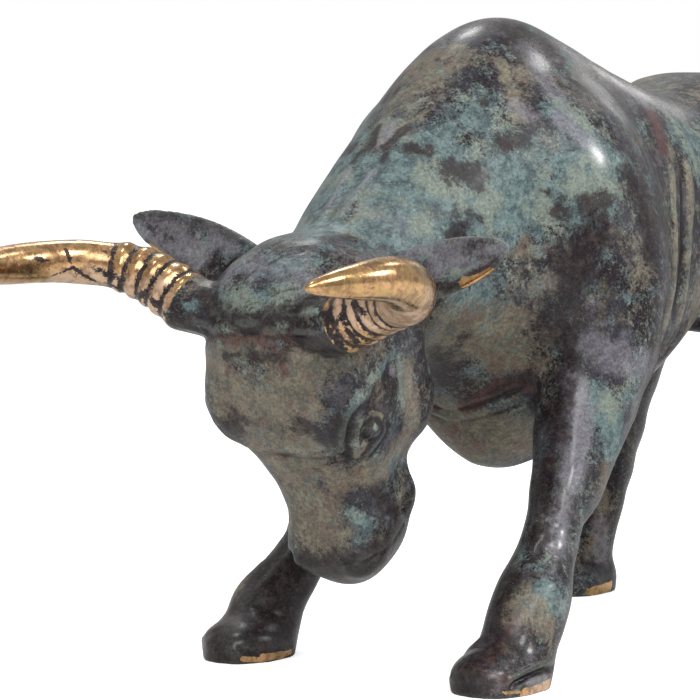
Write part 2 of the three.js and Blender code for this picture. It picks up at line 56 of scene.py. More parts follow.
# The reference view. The camera stands in front of the bull, on its left, and looks a little down.
CAMERA_PLACE = Vector((338.75, -516.7, 103.7)) * MM
CAMERA_AZIMUTH = 36  # degrees from the front
CAMERA_PITCH = 4  # degrees below level
FOCAL_PIXELS = 3000
PICTURE_PIXELS = 700
SENSOR_WIDTH = 36  # millimetres
NEAR_CLIP = 10 * MM

# The stage, in metres. A lamp's row holds its name, which is also that of the setting for its power, its
# azimuth from the front towards the bull's left and its height in degrees, and its edge. All lamps stand at
# one distance and look at the bull.
FLOOR_REACH = 8
FLOOR_ROUGHNESS = 0.8
WHITE = (1, 1, 1, 1)
AIM = Vector((0, -0.02, 0.07))
LAMP_DISTANCE = 0.9
LAMPS = (
    ("top", -45, 72, 0.1),
    ("left", -137, 50, 0.14),
    ("rear", -168, 20, 0.12),
    ("back", 163, 48, 0.12),
    ("side", 113, 33, 0.12),
    ("front", 70, 48, 0.25),
    ("fill", 28, 34, 0.4),
)

# How the casting's mesh is taken over and smoothed.
MERGE_DISTANCE = 0.002 * MM
QUAD_FACE_ANGLE = math.radians(30)
QUAD_SHAPE_ANGLE = math.radians(50)
LEVEL_TOLERANCE = 0.01 * MM
LEVEL_NORMAL = 0.99  # how upright the normal of a sole is
SUBDIVISIONS = 2
RELAX_ROUNDS = 2
HOLLOW_ROUNDS = 12  # rounds of smoothing that the depth of a hollow is measured against
TINY = 1e-12  # keeps a length of nothing from dividing

# The upright plane that halves the body, and the point between the ears that the horns are measured from,
# in millimetres.
MIDDLE = -0.15
POLL = Vector((MIDDLE, -70.3, 81))

# A horn's centre line as the casting has it, in millimetres: out, forward and up from the poll, and the
# radius. The left horn bends higher.
HORN = (
    (9, 5, -10.5, 5.4),
    (18, 6.2, -8.8, 5.6),
    (24.5, 7.2, -5.4, 5.4),
    (31, 9.4, -3.1, 4.8),
    (37.5, 14, -2.3, 4.3),
    (41.5, 20.5, -2.3, 4),
    (43.2, 28, -2.7, 3.8),
    (42.8, 35, -3, 3.3),
    (41, 41.5, -3.2, 2.3),
    (39.4, 45.4, -3.4, 1.1),
)
LEFT_HORN_RISE = (0, -1.5, -1.6, -1.7, -0.9, 1.8, 3.8, 4, 3.7, 3.4)
HORN_ROLL = math.radians(2.8)
HORN_SURFACE = 1.3  # millimetres from the horn's surface that still count as the horn
HORN_BARE_FROM = 0.1  # share of the centre line that skin covers
HORN_BARE_EDGE = 0.05
HORN_GROOVES = (0.154, 0.208, 0.262, 0.316, 0.37)  # shares at which the rings' grooves run
HORN_GROOVE_WIDTH = 0.009

LINE_STEP = 2  # pixels or millimetres between the places of a carved line
LINE_TAPER = 0.22  # share of a carved line over which each end fades
LINE_END = 0.25  # share of its height that a carved line keeps at its ends
SAME_FACING = 0.2  # how much a surface has to face the way of a carved line to be carved by it
PATCH_STEP = 8  # pixels or millimetres between the places of a patch's line
PATCH_FADE = 2.6  # reaches after which a patch has faded away

# Carved lines. A row holds pixels of the reference view, or places in millimetres, that the line runs
# through, then its half width and its height in millimetres. A height below nothing is a groove.

# Lines of the head, carved on both sides.
HEAD_LINES = (
    # fold across the bridge of the nose
    ((270, 452), (283, 457), (306, 460), (328, 460), (338, 456), 1.3, -0.32),
    ((272, 446), (290, 451), (308, 453), (328, 452), (340, 447), 1.8, 0.26),
    # eyelids and the corner of the eye
    (
        (384, 420), (378, 414), (370, 413), (362, 418), (357, 428), (356, 438), (357, 450), (358, 461),
        0.8,
        0.6,
    ),
    ((384, 420), (384, 430), (379, 439), (372, 448), (365, 456), (358, 461), 0.8, 0.5),
    ((363, 443), (362, 450), 1.1, 0.5),
    ((372, 402), (362, 407), (354, 416), (350, 430), (348, 445), (350, 459), 1.3, -0.7),
    ((388, 418), (388, 432), (382, 444), (374, 454), (365, 463), 0.9, -0.35),
    # brow ridges from the horn to the eye
    (
        (396, 344), (388, 354), (380, 366), (374, 378), (366, 393), (356, 404), (347, 414), (342, 428),
        2,
        0.5,
    ),
    ((402, 350), (401, 366), (397, 380), (395, 396), (397, 412), (394, 428), (386, 444), 1.8, 0.32),
    ((388, 358), (388, 372), (383, 388), (377, 398), 1.2, -0.35),
    ((368, 386), (361, 381), (353, 377), 1.4, 0.25),
    ((343, 428), (341, 440), (338, 454), 1.5, 0.3),
    # lips
    ((409, 511), (407, 518), (402, 528), (394, 541), (382, 553), (366, 561), (354, 563), 0.8, -0.28),
    ((411, 490), (404, 496), (402, 508), (406, 518), 0.8, -0.24),
    ((399, 536), (388, 548), (374, 557), (358, 561), 1, 0.15),
    # ridge of skin across the poll, from horn to horn
    ((223, 310), (238, 319), (253, 325), (272, 329), (293, 331), (319, 330), 1.6, 0.36),
    ((228, 320), (243, 330), (262, 336), (290, 339), (316, 338), 1.3, -0.24),
    ((250, 347), (266, 350), (284, 351), 1.3, 0.25),
)

# Locks of hair on the poll, carved where they are drawn.
HAIR_LINES = (
    ((262, 268), (273, 261), (283, 255), (296, 253), (308, 251), 0.6, -0.24),
    ((268, 257), (280, 250), (294, 247), (310, 245), 0.6, 0.2),
    ((271, 277), (270, 268), (277, 263), (286, 265), (289, 273), (282, 278), 0.55, 0.24),
    ((263, 293), (273, 286), (286, 283), (299, 280), 0.6, 0.24),
    ((266, 300), (277, 293), (290, 289), (302, 287), 0.5, -0.24),
    ((240, 284), (249, 275), (258, 267), 0.6, -0.22),
    ((246, 290), (254, 281), (262, 274), 0.6, 0.2),
    ((236, 302), (246, 296), (256, 291), 0.6, 0.2),
    ((242, 309), (252, 303), (262, 302), 0.5, -0.22),
    ((296, 266), (306, 261), (318, 260), 0.6, 0.2),
    ((298, 273), (306, 268), (316, 267), 0.5, -0.22),
    ((270, 309), (282, 304), (296, 303), (306, 300), 0.6, 0.2),
    ((274, 316), (286, 311), (300, 311), 0.5, -0.22),
    ((280, 244), (292, 240), (306, 238), 0.6, -0.2),
    ((240, 256), (231, 262), (222, 270), (217, 272), 0.7, -0.4),
    ((246, 260), (238, 267), (230, 274), 0.7, 0.24),
)

# Folds of skin and muscle on the trunk and legs, carved on both sides.
BODY_LINES = (
    # crease and folds of the neck
    ((346, 178), (341, 188), (334, 200), (326, 212), (315, 228), 2.2, 0.4),
    ((351, 168), (341, 186), (333, 200), (325, 216), 0.8, 0.35),
    ((366, 155), (388, 143), (406, 134), (425, 119), (447, 100), (471, 83), 1.6, -0.18),
    ((372, 164), (394, 152), (412, 143), (432, 128), 1.8, 0.12),
    # folds of skin behind the shoulder
    (
        (22, 32, 102), (25, 30, 96), (26, 28, 90), (27, 27, 84), (27, 26, 77), (26, 26, 70), (24, 27, 62),
        1.7,
        0.6,
    ),
    ((23, 35, 99), (25, 33, 91), (26, 31, 84), (27, 30, 77), (26, 29, 70), (24, 30, 63), 1.5, -0.65),
    ((23, 39, 99), (25, 37, 93), (26, 34, 85), (26, 33, 77), (26, 33, 70), (24, 34, 62), 1.7, 0.5),
    # ribs and the hollow of the flank
    ((20, 60, 64), (23, 57, 74), (25, 54, 86), (24, 52, 96), 3, -0.5),
    ((27, 42, 94), (27, 45, 84), (24, 48, 72), 2.6, 0.25),
    # thigh and hock
    ((28, 74, 66), (30, 78, 78), (30, 84, 90), (27, 90, 100), 3, -0.35),
    ((27, 98, 56), (28, 99, 66), (28, 101, 76), (26, 103, 86), 2.4, -0.45),
    ((27, 84, 46), (26, 84, 36), (26, 83, 26), 1.8, -0.4),
    ((24, 92, 44), (23, 90, 34), (22, 86, 24), 1.6, 0.3),
    # creases between the brisket and the foreleg
    ((448, 412), (463, 410), (478, 405), (503, 397), (530, 384), 1.1, -0.45),
    ((455, 424), (478, 420), (503, 413), (530, 401), 1.1, -0.3),
    ((452, 417), (478, 412), (505, 404), (530, 392), 1.2, 0.35),
    # foreleg, from its muscles to the wrinkles over the hoof
    ((575, 400), (577, 440), (571, 480), (563, 520), (556, 550), 2.6, 0.35),
    ((592, 410), (594, 445), (588, 480), (580, 515), 1.8, -0.3),
    ((548, 470), (546, 500), (541, 530), 1.6, -0.25),
    ((545, 548), (556, 556), (566, 558), (574, 556), 1.2, -0.3),
    ((530, 570), (541, 577), (556, 578), (568, 572), 1.2, -0.25),
)

# Strands of the tail's tuft, carved where they are drawn.
TAIL_LINES = (
    ((2, 107, 62), (4, 106, 54), (4, 105, 46), (3, 103, 38), 0.8, -0.3),
    ((5, 106, 58), (6, 105, 50), (5, 104, 42), 0.6, -0.25),
    ((1, 106, 60), (2, 105, 52), (2, 104, 44), 0.6, -0.25),
)

# Hems and clefts of the forehooves, carved on both sides.
HOOF_LINES = (
    ((553, 668), (542, 671), (530, 676), (518, 682), (508, 689), 1.1, -1.2),
    ((553, 661), (542, 664), (530, 670), (516, 677), (505, 686), 1.1, 0.5),
    ((469, 654), (480, 662), (492, 668), 1.4, -0.15),
    ((244, 612), (258, 621), (284, 625), 2.6, 0.45),
    ((236, 646), (244, 652), (256, 655), 0.8, -0.3),
)

# Patches of patina. A row holds pixels of the reference view that the patch follows, or places in
# millimetres where that view doesn't reach, then its reach in millimetres and its strength. Each is laid on
# both sides of the body.
TEAL = (
    # hump and back
    ((672, 120), (690, 150), (698, 172), 6, 0.7),
    # neck and shoulder
    ((330, 225), (370, 190), (420, 175), (470, 195), (530, 188), (592, 176), 13, 0.95),
    ((395, 130), (440, 140), (482, 108), (520, 150), (560, 165), 7, 0.7),
    ((552, 105), (575, 118), (598, 150), (606, 178), 5, 0.75),
    ((430, 232), (480, 235), (530, 218), 8, 0.62),
    ((440, 304), (480, 294), (520, 276), 8, 0.5),
    ((296, 236), (330, 244), (380, 240), 5, 0.55),
    ((340, 190), (370, 215), (410, 228), 9, 1.1),
    ((455, 300), (500, 286), 5, 0.6),
    # ears
    ((492, 246), (504, 244), 1.8, 1),
    ((450, 279), (464, 274), 1.1, 1.2),
    ((452, 272), (476, 272), 1.6, 0.9),
    ((203, 240), (228, 252), 3, 0.65),
    ((437, 263), (478, 258), 1.5, 0.85),
    # head
    ((392, 352), (373, 378), (356, 400), (347, 414), 1.7, 0.75),
    ((399, 356), (401, 400), 2, 0.7),
    ((402, 440), (392, 470), 2.6, 0.5),
    ((366, 524), (352, 514), 2, 0.75),
    ((250, 300), (290, 300), 5, 0.8),
    ((262, 275), (290, 262), (320, 258), 4, 0.65),
    ((375, 427), (376, 428), 0.7, 1.5),
    ((256, 341), (284, 346), 1.8, 0.5),
    ((246, 274), (262, 262), (290, 252), 3, 0.5),
    ((187, 306), (200, 303), 1.1, 0.9),
    # legs
    ((600, 398), (611, 428), (614, 448), 4.6, 0.95),
    ((640, 360), (628, 395), 4, 0.6),
    ((583, 466), (574, 490), 2.6, 0.5),
    ((548, 586), (560, 606), 3.4, 0.85),
    ((530, 575), (548, 560), 2.6, 0.55),
    ((238, 612), (262, 600), 4, 0.35),
    # flank and rump
    ((20, 48, 102), (23, 62, 98), (25, 78, 98), 9, 0.8),
    ((24, 50, 70), (25, 58, 82), 7, 0.7),
    ((29, 84, 74), (28, 88, 60), 7, 0.75),
    ((12, 104, 100), (16, 108, 88), 7, 0.8),
    ((27, 84, 42), (26, 82, 28), 4, 0.7),
)
OLIVE = (
    # hump and back
    ((385, 135), (425, 78), (450, 60), 8, 0.72),
    ((500, 62), (510, 90), (517, 118), 1.9, 0.85),
    ((655, 88), (692, 92), 9, 0.55),
    # neck and shoulder
    ((432, 345), (470, 318), (505, 345), 10, 1.05),
    ((500, 295), (540, 282), 7, 0.6),
    ((470, 212), (510, 240), (545, 250), 5, 0.6),
    ((618, 240), (640, 275), 7, 0.6),
    # head
    ((216, 366), (232, 388), (262, 402), (300, 405), 6.5, 0.95),
    ((232, 345), (300, 365), (380, 352), 4.5, 0.72),
    ((256, 440), (296, 476), (306, 535), 8, 0.95),
    ((335, 484), (385, 468), (402, 440), 5, 0.82),
    ((403, 372), (410, 402), (412, 425), 3.2, 1),
    ((381, 416), (370, 413), (359, 422), (356, 438), (357, 456), 0.6, 1.5),
    ((365, 442), (362, 450), 0.9, 1.3),
    # brisket
    ((450, 425), (480, 450), (512, 440), 8, 1.35),
    # legs
    ((508, 614), (524, 600), (540, 606), (545, 622), 4.4, 1),
    ((508, 640), (498, 652), 2.4, 0.7),
    ((606, 470), (600, 520), (598, 556), 3, 0.7),
    ((545, 372), (562, 350), 3.6, 0.4),
    ((262, 572), (246, 588), 4, 0.4),
    # flank and rump
    ((22, 32, 101), (26, 28, 90), (27, 26, 78), (25, 26, 66), 2.2, 0.9),
    ((23, 38, 98), (25, 36, 92), (26, 33, 80), (25, 33, 66), 1.9, 0.85),
    ((26, 52, 92), (25, 62, 84), 8, 0.75),
    ((22, 44, 62), (24, 40, 72), 8, 0.7),
    ((10, 72, 112), (14, 86, 112), 8, 0.75),
    ((28, 98, 88), (24, 104, 78), 7, 0.75),
    ((27, 84, 20), (26, 76, 10), 4, 0.7),
)
DARK = (
    # hump and back
    ((485, 100), (484, 103), 1.6, 0.9),
    ((449, 114), (452, 116), 1.8, 0.8),
    ((486, 24), (515, 28), (545, 48), 4.4, 0.9),
    # neck and shoulder
    ((455, 172), (474, 176), 4, 1.1),
    ((503, 142), (522, 140), 2.9, 1.15),
    ((556, 211), (564, 213), 2, 1),
    ((585, 205), (606, 200), 2.7, 1.1),
    ((540, 192), (566, 198), 1.4, 0.6),
    ((452, 212), (480, 218), 1.8, 0.75),
    ((356, 206), (345, 220), 1.8, 0.6),
    ((326, 232), (345, 236), 2.4, 0.6),
    ((600, 230), (580, 250), (566, 300), (562, 330), 6, 0.85),
    ((625, 175), (648, 215), (652, 250), 4, 0.85),
    ((600, 290), (612, 330), 5, 0.6),
    ((462, 336), (440, 362), 2.6, 0.75),
    ((406, 128), (396, 136), (385, 146), 1.4, 1.15),
    ((378, 129), (366, 148), (354, 161), 1.1, 0.95),
    ((413, 148), (424, 151), 2.3, 1.1),
    ((328, 238), (352, 238), 2.8, 0.85),
    ((451, 236), (462, 227), 2, 1.3),
    ((445, 290), (475, 282), 1.2, 0.9),
    ((437, 350), (438, 378), 3, 0.8),
    # ears
    ((150, 222), (170, 240), 3, 0.7),
    ((441, 286), (455, 285), (470, 277), (485, 270), (496, 262), 0.9, 1.2),
    ((489, 256), (478, 257), 0.8, 0.8),
    # head
    ((318, 343), (348, 343), 3, 0.75),
    ((300, 424), (325, 438), (345, 425), 3.6, 0.85),
    ((248, 356), (282, 358), 1.6, 0.8),
    ((330, 566), (362, 568), (394, 545), 4.8, 1.05),
    ((378, 494), (396, 516), (398, 536), 3.4, 0.85),
    ((366, 432), (367, 436), 0.8, 1.6),
    ((366, 405), (355, 415), (350, 430), (348, 446), (350, 459), 0.9, 1),
    ((386, 426), (381, 440), (373, 450), 0.6, 0.7),
    ((362, 467), (356, 470), (346, 468), 0.7, 0.8),
    ((283, 452), (306, 455), (334, 453), 0.7, 0.6),
    ((205, 294), (222, 310), (246, 324), 2.8, 0.9),
    ((212, 320), (206, 340), 3, 0.7),
    # brisket
    ((495, 392), (530, 378), 2.4, 0.8),
    # legs
    ((548, 460), (545, 500), (535, 540), 4, 0.85),
    ((570, 360), (562, 400), (560, 430), 4, 0.8),
    ((505, 636), (476, 664), (465, 682), 4.6, 0.8),
    ((553, 669), (530, 677), (516, 683), 0.7, 1.4),
    ((280, 575), (270, 605), (240, 640), (218, 655), 8, 1.5),
    ((590, 560), (606, 575), 4, 0.65),
    # flank and rump
    ((24, 34, 97), (26, 31, 84), (26, 29, 68), 1.1, 0.8),
    ((26, 66, 92), (27, 74, 84), 5, 1),
    ((22, 60, 104), (20, 66, 106), 3.4, 1),
    ((26, 90, 96), (24, 94, 104), 4, 0.95),
    ((20, 108, 76), (14, 106, 68), 5, 0.9),
    ((26, 90, 52), (27, 92, 64), 4, 0.9),
    ((27, 46, 80), (27, 42, 88), 3.4, 1),
)
RED = (
    # hump and back
    ((652, 114), (664, 150), 3, 0.9),
    # neck and shoulder
    ((545, 250), (560, 262), 2.4, 0.5),
    ((390, 226), (391, 238), 1.4, 0.45),
    ((545, 210), (556, 214), 2, 0.5),
    ((512, 146), (500, 146), 1.4, 0.7),
    # ears
    ((470, 275), (484, 269), (496, 264), 0.6, 1.1),
    # head
    ((252, 337), (270, 342), (300, 340), 2.6, 0.62),
    ((306, 418), (316, 405), 2.2, 0.45),
    ((224, 352), (227, 374), 1.6, 0.6),
    ((363, 446), (366, 450), 0.7, 0.9),
    ((368, 331), (374, 340), 1.4, 0.6),
    # brisket
    ((530, 384), (498, 388), (466, 408), 3, 0.8),
    ((455, 430), (485, 446), (516, 440), 5, 0.45),
    # legs
    ((545, 440), (552, 470), 2.4, 0.5),
    ((598, 520), (606, 560), 4, 0.5),
    ((470, 668), (498, 682), 4, 0.75),
    ((505, 636), (486, 660), 3, 0.8),
)
# Lilac patches are partly a painted sheen. Most rows paint the lavender highlights and glints of the wax
# where the lamps shine; the rest give a lavender tone to the patina.
LILAC_AND_PAINTED_SHEEN = (
    # hump and back: painted highlights where the lamps shine on the wax
    ((536, 66), (548, 88), (560, 96), 4, 0.7),
    ((562, 118), (584, 140), 3.2, 0.85),
    ((516, 106), (530, 118), 2.8, 0.85),
    ((612, 78), (645, 104), 3.4, 0.65),
    # neck and shoulder
    ((555, 290), (610, 335), 8, 0.5),
    # painted highlight along the crest of the neck
    ((350, 170), (341, 186), (333, 200), (326, 214), 0.8, 1.3),
    ((338, 184), (362, 210), (400, 224), 7, 0.45),
    ((392, 127), (379, 143), 2.4, 0.8),
    ((340, 250), (352, 232), 2.2, 0.45),
    # ears
    ((212, 236), (232, 250), 3, 0.8),
    ((440, 262), (455, 256), (480, 246), (502, 243), 3.6, 1.2),
    ((482, 252), (500, 250), 3, 1),
    ((152, 226), (200, 240), (236, 256), 2.6, 0.6),
    ((478, 262), (500, 252), 3, 0.6),
    ((210, 228), (190, 222), 2.4, 0.5),
    ((150, 222), (180, 232), 2.6, 0.8),
    # head
    # painted sheen on the forehead
    ((325, 386), (347, 398), 4, 0.45),
    ((410, 378), (413, 415), (402, 448), 4.5, 0.4),
    ((262, 270), (285, 266), (305, 278), 6, 0.66),
    ((355, 545), (372, 538), 2.4, 0.5),
    ((256, 252), (268, 258), 2, 0.4),
    ((392, 368), (393, 372), 1.2, 0.9),
    # legs: mostly painted highlight streaks on the forelegs and painted glints on the hooves
    ((592, 345), (638, 362), 6, 0.75),
    ((573, 380), (582, 420), (578, 450), (570, 484), 3.4, 1.05),
    ((562, 500), (556, 548), 3, 1),
    ((573, 368), (576, 384), 3, 0.7),
    ((577, 426), (574, 446), 2.4, 0.6),
    ((556, 520), (560, 545), 1.8, 0.6),
    ((540, 650), (528, 662), 2.4, 0.5),
    # painted sheen streak down the right forehoof
    ((251, 590), (239, 612), (235, 632), 1.4, 1.05),
    ((530, 684), (546, 677), 1.4, 1),
    # painted glint on the left forehoof
    ((493, 675), (496, 687), 1.6, 1.2),
    ((600, 520), (602, 560), 3, 0.8),
    # flank and rump
    ((24, 76, 106), (24, 90, 106), 5, 0.7),
    ((28, 88, 50), (27, 88, 34), 3.4, 0.8),
    ((22, 36, 60), (20, 44, 62), 5, 0.6),
)

# Dark cracks and pits in the horns.
CRACKS = (
    # right horn
    ((66, 250), (71, 262), (74, 268), (82, 274), (90, 279), 0.42, 1.3),
    ((72, 267), (62, 272), (52, 276), 0.3, 0.9),
    ((36, 258), (44, 260), 0.9, 0.9),
    ((98, 270), (106, 274), 0.8, 0.8),
    ((94, 280), (110, 285), (122, 290), 0.7, 0.8),
    ((116, 276), (122, 280), 0.7, 0.9),
    ((152, 300), (164, 314), 0.9, 1),
    ((186, 300), (182, 312), 0.9, 1),
    # left horn
    ((323, 313), (332, 334), (342, 350), 0.9, 1.2),
    ((340, 318), (350, 334), (356, 342), 0.8, 1),
    ((355, 303), (363, 313), 0.9, 1.1),
)

# Places where the wax is rubbed to a shine.
WAX = (
    # hump and back
    ((538, 60), (544, 68), 3, 1),
    ((516, 108), (532, 116), 3, 0.7),
    ((460, 44), (492, 30), 4, 0.7),
    ((600, 72), (648, 98), 4, 0.6),
    # neck and shoulder
    ((593, 147), (601, 159), 3.6, 1),
    # head
    ((325, 386), (345, 396), 4, 0.5),
    ((330, 560), (372, 560), 4, 0.4),
    # legs
    ((580, 395), (578, 450), (566, 500), (556, 548), 5, 1),
    ((560, 600), (520, 640), (492, 682), 5, 0.8),
    ((245, 590), (232, 640), 4, 0.9),
    ((604, 520), (600, 575), 4, 0.7),
    # flank and rump
    ((22, 70, 106), (24, 90, 104), 6, 0.8),
    ((30, 78, 80), (29, 84, 64), 6, 0.6),
    ((16, 108, 96), (16, 110, 84), 5, 0.6),
)

# Places where the ground bronze is matt.
MATT = (
    ((345, 305), (380, 318), (408, 318), 4.5, 1.1),
    ((150, 285), (170, 290), 2.4, 0.6),
    ((530, 694), (545, 688), 2, 1),
)

# Places on the feet and ears where the bronze is ground bright.
BRIGHT = (
    # left forehoof
    ((524, 694), (537, 690), (549, 684), 1.2, 1),
    ((501, 693), (520, 692), 0.35, 0.9),
    # right forehoof
    ((243, 659), (262, 660), (291, 652), 0.6, 1),
    ((262, 657), (284, 655), 0.9, 0.9),
    # hind hoof
    ((588, 592), (611, 585), 0.9, 1),
    ((594, 594), (609, 590), 1.1, 1),
    # edge of the ear
    ((463, 283), (478, 279), (491, 272), 0.9, 1.2),
)

# The fields that the finish reads: each one's patches, and its strength away from them.
FIELDS = {
    "teal": (TEAL, 0.3),
    "olive": (OLIVE, 0.34),
    "dark": (DARK, 0.1),
    "red": (RED, 0.1),
    "lilac": (LILAC_AND_PAINTED_SHEEN, 0.15),
    "wax": (WAX, 0.1),
    "matt": (MATT, 0.0),
    "bright": (BRIGHT, 0.0),
    "ring": (CRACKS, 0.0),
}


def camera_turn():
    """The way the camera is turned, as a quaternion."""
    azimuth = math.radians(CAMERA_AZIMUTH)
    pitch = math.radians(CAMERA_PITCH)
    ahead = Vector((-math.sin(azimuth), math.cos(azimuth), -math.tan(pitch)))
    return ahead.to_track_quat("-Z", "Y")


def sight(pixel):
    """The line of sight through a pixel of the reference view."""
    half = PICTURE_PIXELS / 2
    ray = Vector(((pixel[0] - half) / FOCAL_PIXELS, (half - pixel[1]) / FOCAL_PIXELS, -1))
    return (camera_turn() @ ray).normalized()


def smooth_step(low, high, value):
    """0 below low, 1 above high, smooth between."""
    t = np.clip((value - low) / (high - low), 0, 1)
    return t * t * (3 - 2 * t)


# Meshes and their arrays.


def vectors(items, key, count):
    """An array with one vector of each item."""
    out = np.empty(count * 3, np.float32)
    items.foreach_get(key, out)
    return out.reshape(-1, 3).astype(np.float64)


def places(mesh):
    return vectors(mesh.vertices, "co", len(mesh.vertices))


def directions(mesh):
    return vectors(mesh.vertices, "normal", len(mesh.vertices))


def put(mesh, co):
    """Moves a mesh's vertices to new places."""
    mesh.vertices.foreach_set("co", co.astype(np.float32).ravel())
    mesh.update()


def merged_copy(node, name):
    """The CAD node's mesh as a new object, merged and joined to quads, its soles' rims kept sharp."""
    mesh = bpy.data.meshes.new(name)
    bm = bmesh.new()
    bm.from_mesh(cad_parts[node].data)
    bmesh.ops.remove_doubles(bm, verts=bm.verts, dist=MERGE_DISTANCE)
    bmesh.ops.join_triangles(
        bm,
        faces=bm.faces,
        angle_face_threshold=QUAD_FACE_ANGLE,
        angle_shape_threshold=QUAD_SHAPE_ANGLE,
    )
    crease = bm.edges.layers.float.new("crease_edge")
    for edge in bm.edges:
        level = all(abs(v.co.z) < LEVEL_TOLERANCE for v in edge.verts)
        flat = [abs(f.normal.z) > LEVEL_NORMAL for f in edge.link_faces]
        if level and any(flat) and not all(flat):
            edge[crease] = 1.0
    bm.to_mesh(mesh)
    bm.free()
    obj = bpy.data.objects.new(name, mesh)
    bpy.context.collection.objects.link(obj)
    return obj


def evaluated(obj):
    """A new mesh with the object's modifiers applied."""
    graph = bpy.context.evaluated_depsgraph_get()
    graph.update()
    return bpy.data.meshes.new_from_object(obj.evaluated_get(graph))


def bake_modifiers(obj):
    """Applies the object's modifiers to its mesh."""
    mesh = evaluated(obj)
    obj.modifiers.clear()
    old = obj.data
    obj.data = mesh
    bpy.data.meshes.remove(old)


def subdivide(obj, levels, rounds=3, gain=0.8, reach=1.2 * MM):
    """Smooth subdivision that still passes through the casting's own corners.

    In each round the cage moves by a gain times what the smooth form falls short, within a reach in all.
    """
    modifier = obj.modifiers.new("smooth", "SUBSURF")
    modifier.levels = levels
    modifier.render_levels = levels
    target = places(obj.data)
    cage = target.copy()
    for _ in range(rounds):
        put(obj.data, cage)
        mesh = evaluated(obj)
        reached = places(mesh)[: len(target)]
        bpy.data.meshes.remove(mesh)
        cage += gain * (target - reached)
        push = cage - target
        far = np.linalg.norm(push, axis=1)
        cage = target + push * np.minimum(1, reach / np.maximum(far, TINY))[:, None]
    put(obj.data, cage)
    bake_modifiers(obj)


def remesh(obj, step):
    """One even skin of small quads over the whole casting, drawn back onto the form it came from."""
    form = bpy.data.objects.new("form", obj.data.copy())
    bpy.context.collection.objects.link(form)
    modifier = obj.modifiers.new("skin", "REMESH")
    modifier.mode = "VOXEL"
    modifier.voxel_size = step
    modifier.use_smooth_shade = True
    bake_modifiers(obj)
    modifier = obj.modifiers.new("form", "SHRINKWRAP")
    modifier.target = form
    bake_modifiers(obj)
    bpy.data.meshes.remove(form.data)


def relax(obj, rounds, factor=0.5):
    """Evens out the skin a little."""
    modifier = obj.modifiers.new("relax", "SMOOTH")
    modifier.iterations = rounds
    modifier.factor = factor
    bake_modifiers(obj)


def thin_out(obj, triangles):
    """Collapses edges where the form is plain until about so many triangles are left."""
    obj.data.calc_loop_triangles()
    modifier = obj.modifiers.new("thin", "DECIMATE")
    modifier.ratio = min(1, triangles / len(obj.data.loop_triangles))
    bake_modifiers(obj)


def beside(path, co, reach):
    """The places within a reach of a path: which they are, how far off, and how far along it in steps."""
    near = np.flatnonzero(((co > path.min(0) - reach) & (co < path.max(0) + reach)).all(1))
    away = np.full(len(near), np.inf)
    along = np.zeros(len(near))
    for i in range(len(path) - 1):
        step = path[i + 1] - path[i]
        offset = co[near] - path[i]
        t = np.clip(offset @ step / max(step @ step, TINY), 0, 1)
        d = np.linalg.norm(offset - t[:, None] * step, axis=1)
        closer = d < away
        away[closer] = d[closer]
        along[closer] = i + t[closer]
    return near, away, along


class Skin:
    """The surface while it is carved: vertex places and directions in millimetres, and a search tree."""

    def __init__(self, mesh):
        self.co = places(mesh) / MM
        self.no = directions(mesh)
        mesh.calc_loop_triangles()
        corners = np.empty(len(mesh.loop_triangles) * 3, np.int32)
        mesh.loop_triangles.foreach_get("vertices", corners)
        self.tree = BVHTree.FromPolygons(self.co.tolist(), corners.reshape(-1, 3).tolist())
        ends = np.empty(len(mesh.edges) * 2, np.int32)
        mesh.edges.foreach_get("vertices", ends)
        self.edges = ends.reshape(-1, 2)

    def pin(self, spot):
        """The place and direction of the surface at a pixel of the reference view, or nearest a place."""
        if len(spot) == 3:
            return self.tree.find_nearest(Vector(spot))[:2]
        place, normal, _, _ = self.tree.ray_cast(CAMERA_PLACE / MM, sight(spot))
        if place is None:
            raise RuntimeError(f"pixel {spot} of the reference view misses the casting")
        return place, normal

    def other_side(self, place, normal):
        """The like place on the other half of the body."""
        across = Vector((2 * MIDDLE - place.x, place.y, place.z))
        found, found_normal, _, _ = self.tree.find_nearest(across)
        turned = Vector((-normal.x, normal.y, normal.z))
        return found, found_normal if found_normal.dot(turned) > 0 else turned

    def trace(self, spots, step):
        """A line of places on the surface through pixels of the reference view, or through places."""
        pins = []
        for start, end in zip(spots, spots[1:]):
            count = max(1, round(math.dist(start, end) / step))
            for i in range(count):
                t = i / count
                pins.append(self.pin([a + (b - a) * t for a, b in zip(start, end)]))
        pins.append(self.pin(spots[-1]))
        return pins

    def carve(self, lift, pins, width, height):
        """Adds a ridge, or a groove, along a line of places to the lift of the surface."""
        path = np.array([place for place, _ in pins])
        facing = np.array([normal for _, normal in pins])
        near, away, along = beside(path, self.co, width)
        if not len(near):
            return
        agree = (self.no[near] * facing[np.rint(along).astype(int)]).sum(1) > SAME_FACING
        share = along / (len(path) - 1)
        taper = smooth_step(0, LINE_TAPER, share) * smooth_step(0, LINE_TAPER, 1 - share)
        rise = np.clip(1 - (away / width) ** 2, 0, 1) ** 2
        lift[near] += height * rise * (LINE_END + (1 - LINE_END) * taper) * agree

    def carve_lines(self, lines, both=True):
        """Carves lines where they are drawn and, unless both is false, on the other side too."""
        lift = np.zeros(len(self.co))
        for *spots, width, height in lines:
            pins = self.trace(spots, LINE_STEP)
            self.carve(lift, pins, width, height)
            if both:
                self.carve(lift, [self.other_side(*pin) for pin in pins], width, height)
        self.co += self.no * lift[:, None]

    def hollowness(self, rounds):
        """How far each place lies under its neighbourhood's mean surface, in millimetres."""
        mean = self.co.copy()
        count = np.bincount(self.edges.ravel(), minlength=len(mean))[:, None]
        a, b = self.edges.T
        for _ in range(rounds):
            total = np.empty_like(mean)
            for axis in range(3):
                forth = np.bincount(a, mean[b, axis], len(mean))
                back = np.bincount(b, mean[a, axis], len(mean))
                total[:, axis] = forth + back
            mean = 0.5 * mean + 0.5 * total / count
        return ((mean - self.co) * self.no).sum(1)


